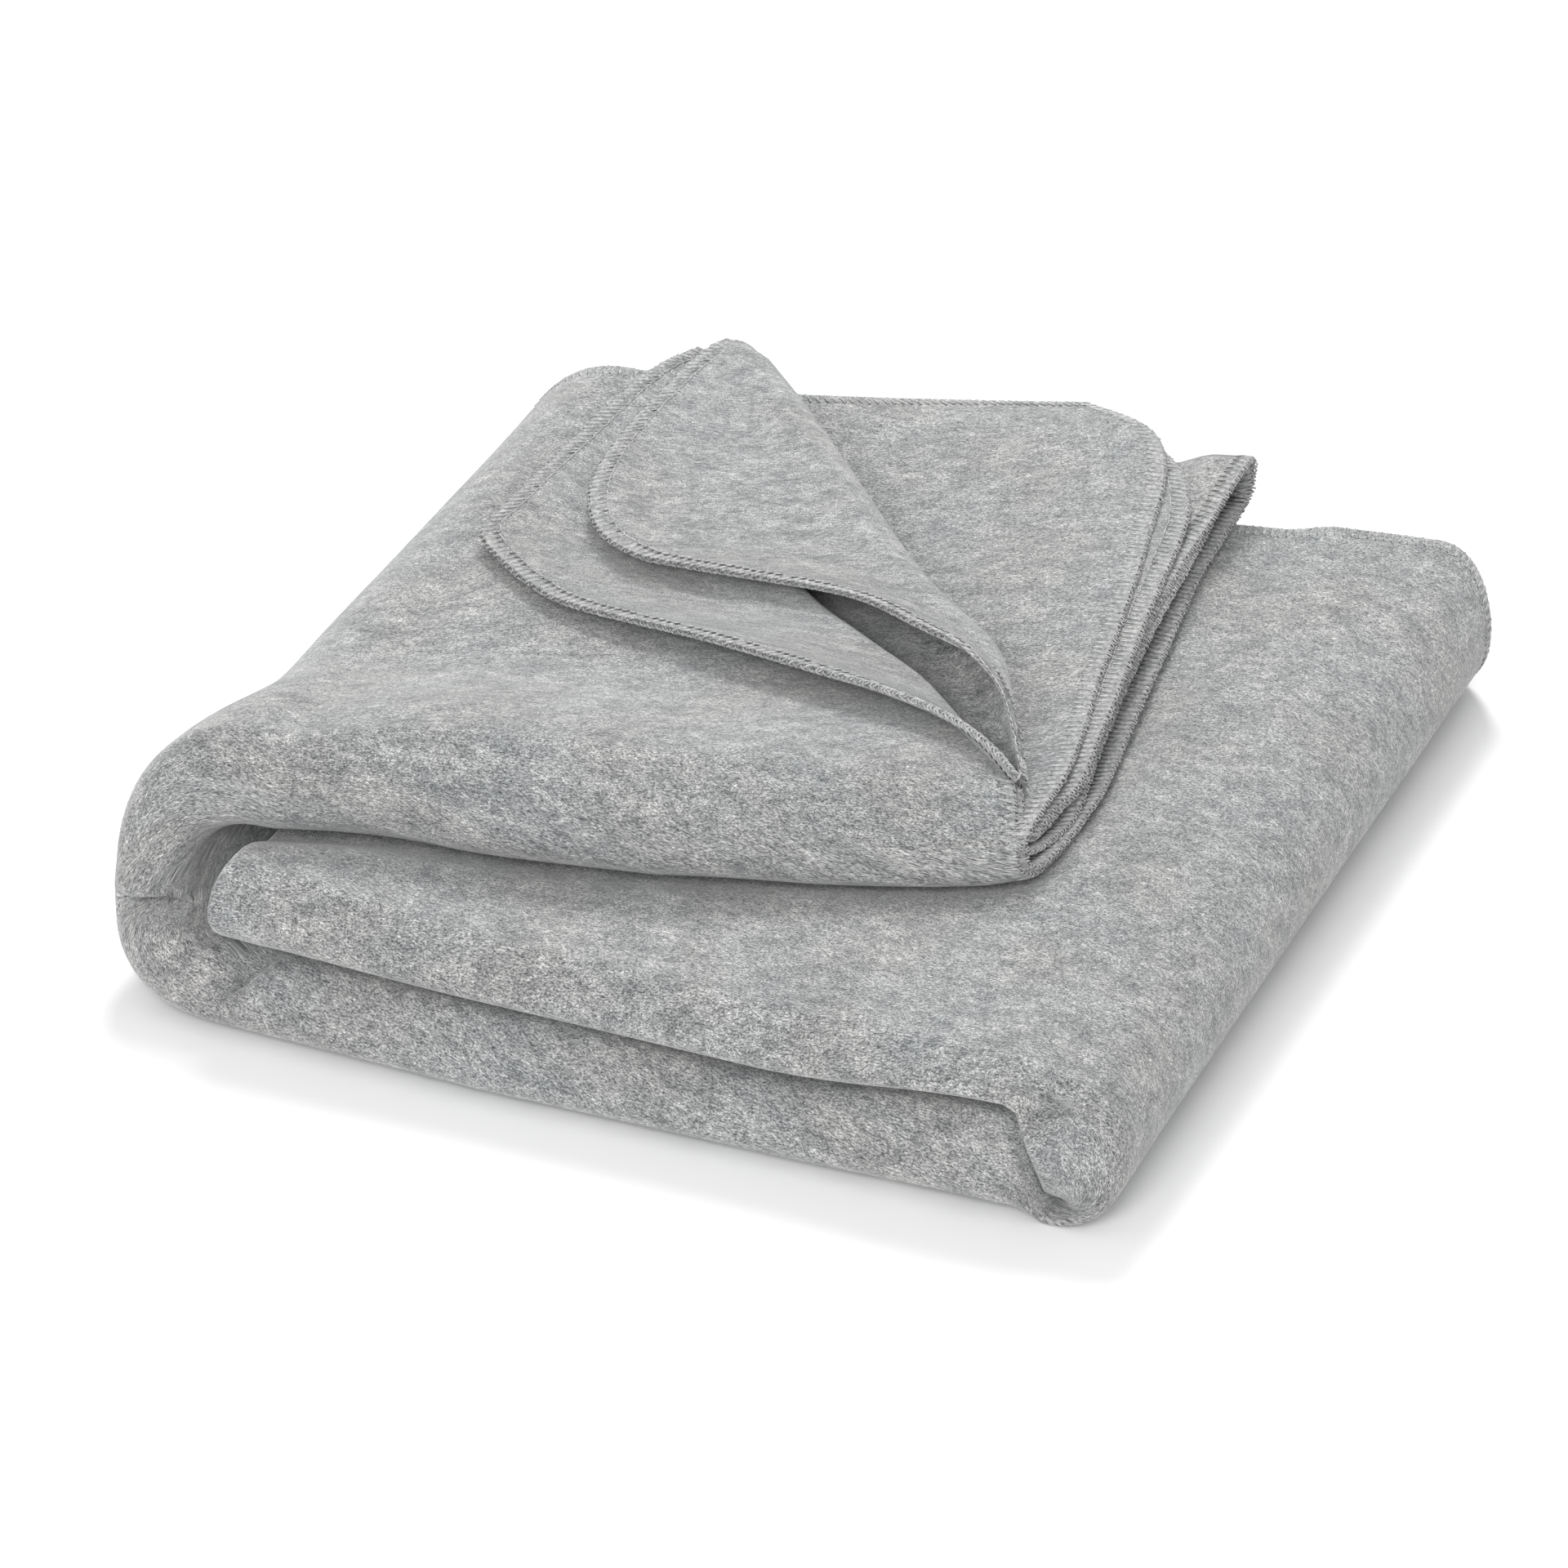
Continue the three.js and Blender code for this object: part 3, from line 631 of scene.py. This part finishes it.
def fleece_material():
    """Brushed heather fleece: pale and dark fibres mixed, cloudy patches and a soft nap."""
    material = bpy.data.materials.new("heather_fleece")
    material.use_nodes = True
    tree = material.node_tree
    shader = tree.nodes["Principled BSDF"]
    place = node(tree, "ShaderNodeAttribute", attribute_name="flat_place").outputs["Vector"]
    tints = noise(tree, place, 22, (1, 1, 1), 2, 0.5)
    clouds = noise(tree, place, 100, (0.8, 1.1, 1), 5, 0.62)
    patches = noise(tree, place, 330, (0.65, 1.2, 1), 4, 0.68)
    fibres = noise(tree, place, 1350, (0.48, 1.25, 1), 3, 0.7)
    flecks = noise(tree, place, 2500, (0.7, 1.1, 1), 2, 0.65)
    base = ramp(tree, [(0.26, (0.178, 0.181, 0.183)), (0.50, (0.298, 0.300, 0.300)),
                       (0.74, (0.415, 0.414, 0.411))])
    tree.links.new(patches, base.inputs[0])
    tint = ramp(tree, [(0.38, (0.489, 0.499, 0.502)), (0.62, (0.505, 0.499, 0.496))])
    tree.links.new(tints, tint.inputs[0])
    cloud = ramp(tree, [(0.33, (0.31, 0.318, 0.325)), (0.67, (0.68, 0.676, 0.67))])
    tree.links.new(clouds, cloud.inputs[0])
    hair = ramp(tree, [(0.33, (0.10, 0.105, 0.11)), (0.50, (0.50, 0.50, 0.50)),
                       (0.67, (0.90, 0.895, 0.885))])
    tree.links.new(fibres, hair.inputs[0])
    fleck = ramp(tree, [(0.30, (0.02, 0.025, 0.03)), (0.50, (0.50, 0.50, 0.50)), (0.70, (0.95, 0.95, 0.94))])
    tree.links.new(flecks, fleck.inputs[0])
    colour = mix(tree, "OVERLAY", 0.60, base.outputs[0], cloud.outputs[0])
    colour = mix(tree, "OVERLAY", 1.0, colour, tint.outputs[0])
    colour = mix(tree, "OVERLAY", 0.65, colour, hair.outputs[0])
    colour = mix(tree, "OVERLAY", 0.90, colour, fleck.outputs[0])
    tree.links.new(colour, shader.inputs["Base Color"])
    height = node(tree, "ShaderNodeMath", operation="MULTIPLY_ADD")
    height.inputs[1].default_value = 0.6
    tree.links.new(fibres, height.inputs[0])
    tree.links.new(patches, height.inputs[2])
    bump = node(tree, "ShaderNodeBump", Strength=0.55, Distance=0.0009)
    tree.links.new(height.outputs[0], bump.inputs["Height"])
    tree.links.new(bump.outputs[0], shader.inputs["Normal"])
    shader.inputs["Roughness"].default_value = 0.96
    shader.inputs["Specular IOR Level"].default_value = 0.15
    shader.inputs["Sheen Weight"].default_value = 0.5
    shader.inputs["Sheen Roughness"].default_value = 0.45
    return material


def thread_material():
    """Matt sewing thread in the cloth's own grey."""
    material = bpy.data.materials.new("overlock_thread")
    material.use_nodes = True
    tree = material.node_tree
    shader = tree.nodes["Principled BSDF"]
    place = node(tree, "ShaderNodeTexCoord").outputs["Object"]
    mottle = noise(tree, place, 700, (1, 1, 1), 3)
    tint = ramp(tree, [(0.3, (0.25, 0.255, 0.26)), (0.7, (0.62, 0.617, 0.61))])
    tree.links.new(mottle, tint.inputs[0])
    tree.links.new(tint.outputs[0], shader.inputs["Base Color"])
    bump = node(tree, "ShaderNodeBump", Strength=0.4, Distance=0.0003)
    tree.links.new(mottle, bump.inputs["Height"])
    tree.links.new(bump.outputs[0], shader.inputs["Normal"])
    shader.inputs["Roughness"].default_value = 0.8
    shader.inputs["Specular IOR Level"].default_value = 0.25
    shader.inputs["Sheen Weight"].default_value = 0.2
    return material


FLEECE = fleece_material()
THREAD_MATERIAL = thread_material()

# ---------- the blanket ----------
grids = {}
for name in COLUMNS:
    rows, marks = layer_rows(name)
    grids[name] = rows
join = half_fold(grids["outer"][0], grids["inner"][0])
whole = np.concatenate([grids["outer"][::-1], join, grids["inner"]])
whole = dented(whole)
whole_normals = -surface_normals(whole)
count = len(grids["outer"])
leaf_3 = LEAF_1 + FRONT_FOLD + INNER_LEAF + BACK_FOLD_STEPS
whole_flat = flat_places(whole, count, [(0, LEAF_1), (leaf_3, leaf_3 + INNER_LEAF)], 0)


def part(layer, start, stop):
    """Rows start to stop of a layer of the whole cloth; the outer layer's rows run backwards there."""
    if layer == "outer":
        return slice(count - 1 - stop, count - start)
    first = count + len(join)
    return slice(first + start, first + stop + 1)


HINGE = {j["name"]: Vector(j["pos_m"]) for j in frame["joints"]}
LOW_BLEND = ("lower_stack", "left_fold", HINGE["left_fold_open"] + Vector((0.018, 0, -0.018)),
             HINGE["left_fold_open"] + Vector((-0.005, 0, 0.005)))
HIGH_BLEND = ("left_fold", "upper_third", HINGE["upper_third_open"] + Vector((-0.018, 0, -0.018)),
              HINGE["upper_third_open"] + Vector((0.006, 0, 0.006)))
THIRD_NODES = {t: [n for n in frame["nodes"] if n.startswith(t)] for t in
               ("lower", "middle", "right_fold", "left_fold", "upper", "corner_flap")}


def cloth_nodes(*groups):
    return [n for g in groups for n in THIRD_NODES[g] if "overlock" not in n]


def take(name, rows, cols=slice(None)):
    grid = whole[rows, cols]
    return cloth_piece(name, grid, whole_normals[rows, cols], whole_flat[rows, cols]), grid


for layer in COLUMNS:
    cols = COLUMNS[layer]
    # the lower and middle thirds with the right fold
    rows = part(layer, 0, marks["cut_low"])
    if layer == "outer":
        rows = slice(rows.start, rows.stop + len(join) + 1)
    piece, grid = take(f"{layer}_layer_stack", rows)
    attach(piece, "lower_stack")
    if layer == "outer":
        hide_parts(*cloth_nodes("lower", "middle", "right_fold"))
    # the lower half of the left fold, next to the lower third
    rows = part(layer, marks["cut_low"], marks["cut_wall"])
    piece, grid = take(f"{layer}_layer_left_fold_lower", rows)
    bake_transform(piece)
    # and its upper half, next to the upper third
    rows = part(layer, marks["cut_wall"], marks["cut_high"])
    piece, grid = take(f"{layer}_layer_left_fold_upper", rows)
    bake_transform(piece)
    if layer == "outer":
        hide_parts(*cloth_nodes("left_fold"))
    # the upper third, up to the crease in leaf 1 and to the open end in the other leaves
    rows = part(layer, marks["cut_high"], count - 1)
    piece, grid = take(f"{layer}_layer_upper_third", rows)
    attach(piece, "upper_third")
    if layer == "outer":
        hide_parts(*cloth_nodes("upper"))
    # the turned-back corner: the curl at the crease, and the flap, which rides its own body
    k = cols.leaves[0]
    end_row = count - 1
    start = whole[part(layer, end_row, end_row), cols.leaf_1][0]
    inside = whole[part(layer, end_row - 1, end_row - 1), cols.leaf_1][0]
    flap = np.concatenate([[start], flap_rows(k, start)])
    context = np.concatenate([[inside], flap])
    flap_normals = surface_normals(context)[1:]
    flap_flat = flat_places(flap, 0, [(0, 0)], 40 + 10 * k)
    flap_body = "outer_flap" if k == 0 else "inner_flap"
    curl = flap[:CURL_STEPS]
    piece = cloth_piece(f"{layer}_layer_crease", curl, flap_normals[:CURL_STEPS], flap_flat[:CURL_STEPS])
    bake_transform(piece)
    sheet_rows = flap[CURL_STEPS - 1:]
    piece = cloth_piece(f"{layer}_layer_flap", sheet_rows, flap_normals[CURL_STEPS - 1:],
                        flap_flat[CURL_STEPS - 1:])
    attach(piece, flap_body)
    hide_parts("corner_flap_outer_layer" if k == 0 else "corner_flap_inner_layer")


# ---------- stitches on every cut edge ----------
def edge_thread(name, edge, inner, normal, body, nodes=(), blend=None):
    piece = overlock_piece(name, edge, inner - edge, normal)
    if blend:
        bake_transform(piece)
    else:
        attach(piece, body)
    if nodes:
        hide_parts(*nodes)
    return piece


OVERLOCK_NODES = {g: [n for n in frame["nodes"] if n.startswith(g) and "overlock" in n] for g in
                  ("lower", "middle", "right_fold", "left_fold", "upper")}
sections = [("stack", 0, marks["cut_low"], "lower_stack", None),
            ("left_lower", marks["cut_low"], marks["cut_wall"], None, LOW_BLEND),
            ("left_upper", marks["cut_wall"], marks["cut_high"], None, HIGH_BLEND),
            ("upper", marks["cut_high"], count - 1, "upper_third", None)]
for layer in COLUMNS:
    for leaf, col, step in (("leaf_1", 0, 1), ("leaf_4", -1, -1)):
        for label, start, stop, body, blend in sections:
            rows = part(layer, start, stop)
            nodes = ()
            if layer == "outer" and leaf == "leaf_1":
                nodes = {"stack": OVERLOCK_NODES["lower"] + OVERLOCK_NODES["middle"]
                         + OVERLOCK_NODES["right_fold"],
                         "left_lower": OVERLOCK_NODES["left_fold"], "left_upper": (),
                         "upper": OVERLOCK_NODES["upper"]}[label]
            edge_thread(f"{layer}_{leaf}_overlock_{label}", whole[rows, col], whole[rows, col + 3 * step],
                        whole_normals[rows, col], body, nodes, blend)
    # the open end, from the outer front fold round to leaf 4
    cols = COLUMNS[layer]
    end = part(layer, count - 1, count - 1)
    before = part(layer, count - 3, count - 3)
    across = slice(cols.leaf_1.stop - 1, None)
    edge_thread(f"{layer}_end_overlock", whole[end, across][0], whole[before, across][0],
                whole_normals[end, across][0], "upper_third")
    # the flap's free edge
    k = cols.leaves[0]
    start = whole[end, cols.leaf_1][0]
    flap = flap_rows(k, start)
    normals = surface_normals(np.concatenate([[start], flap]))[1:]
    edge_thread(f"{layer}_flap_overlock", flap[-1], flap[-4], normals[-1],
                "outer_flap" if k == 0 else "inner_flap",
                ["corner_flap_outer_overlock" if k == 0 else "corner_flap_inner_overlock"])

# ---------- floor, light and camera ----------
def plane(name, size, z):
    mesh = bpy.data.meshes.new(name)
    mesh.from_pydata([(-size, -size, z), (size, -size, z), (size, size, z), (-size, size, z)], [],
                     [(0, 1, 2, 3)])
    made = bpy.data.objects.new(name, mesh)
    bpy.context.scene.collection.objects.link(made)
    return made


floor = plane("floor", 8, -0.0004)
paper = bpy.data.materials.new("white_paper")
paper.use_nodes = True
paper_shader = paper.node_tree.nodes["Principled BSDF"]
paper_shader.inputs["Base Color"].default_value = (0.93, 0.93, 0.93, 1)
paper_shader.inputs["Roughness"].default_value = 0.9
paper_shader.inputs["Specular IOR Level"].default_value = 0.1
floor.data.materials.append(paper)


def area_light(name, place, target, size, power):
    lamp = bpy.data.lights.new(name, "AREA")
    lamp.shape = "SQUARE"
    lamp.size = size
    lamp.energy = power
    made = bpy.data.objects.new(name, lamp)
    bpy.context.scene.collection.objects.link(made)
    made.location = place
    made.rotation_mode = "QUATERNION"
    made.rotation_quaternion = (Vector(target) - Vector(place)).to_track_quat("-Z", "Y")
    return made


area_light("key", (-0.5, 1.2, 1.6), (0, 0, 0), 0.6, 26)
area_light("fill", (0.35, -1.8, 1.3), (0, 0, 0.03), 0.9, 24)
world = bpy.data.worlds.new("studio")
world.use_nodes = True
world.node_tree.nodes["Background"].inputs["Color"].default_value = (1, 1, 1, 1)
world.node_tree.nodes["Background"].inputs["Strength"].default_value = 0.68
bpy.context.scene.world = world
bpy.context.scene.view_settings.view_transform = "Standard"

AZIMUTH, ELEVATION = math.radians(23.9), math.radians(33.0)
CAMERA_DISTANCE = 2.562
LENS = 174.7
AIM = Vector((0, -0.043, 0.045))
back = Vector((math.sin(AZIMUTH) * math.cos(ELEVATION), -math.cos(AZIMUTH) * math.cos(ELEVATION),
               math.sin(ELEVATION)))
camera_data = bpy.data.cameras.new("camera")
camera_data.lens = LENS
camera_data.sensor_width = 36
camera_data.clip_start, camera_data.clip_end = 0.05, 50
camera = bpy.data.objects.new("camera", camera_data)
bpy.context.scene.collection.objects.link(camera)
camera.location = AIM + back * CAMERA_DISTANCE
camera.rotation_mode = "QUATERNION"
camera.rotation_quaternion = (-back).to_track_quat("-Z", "Y")
bpy.context.scene.camera = camera
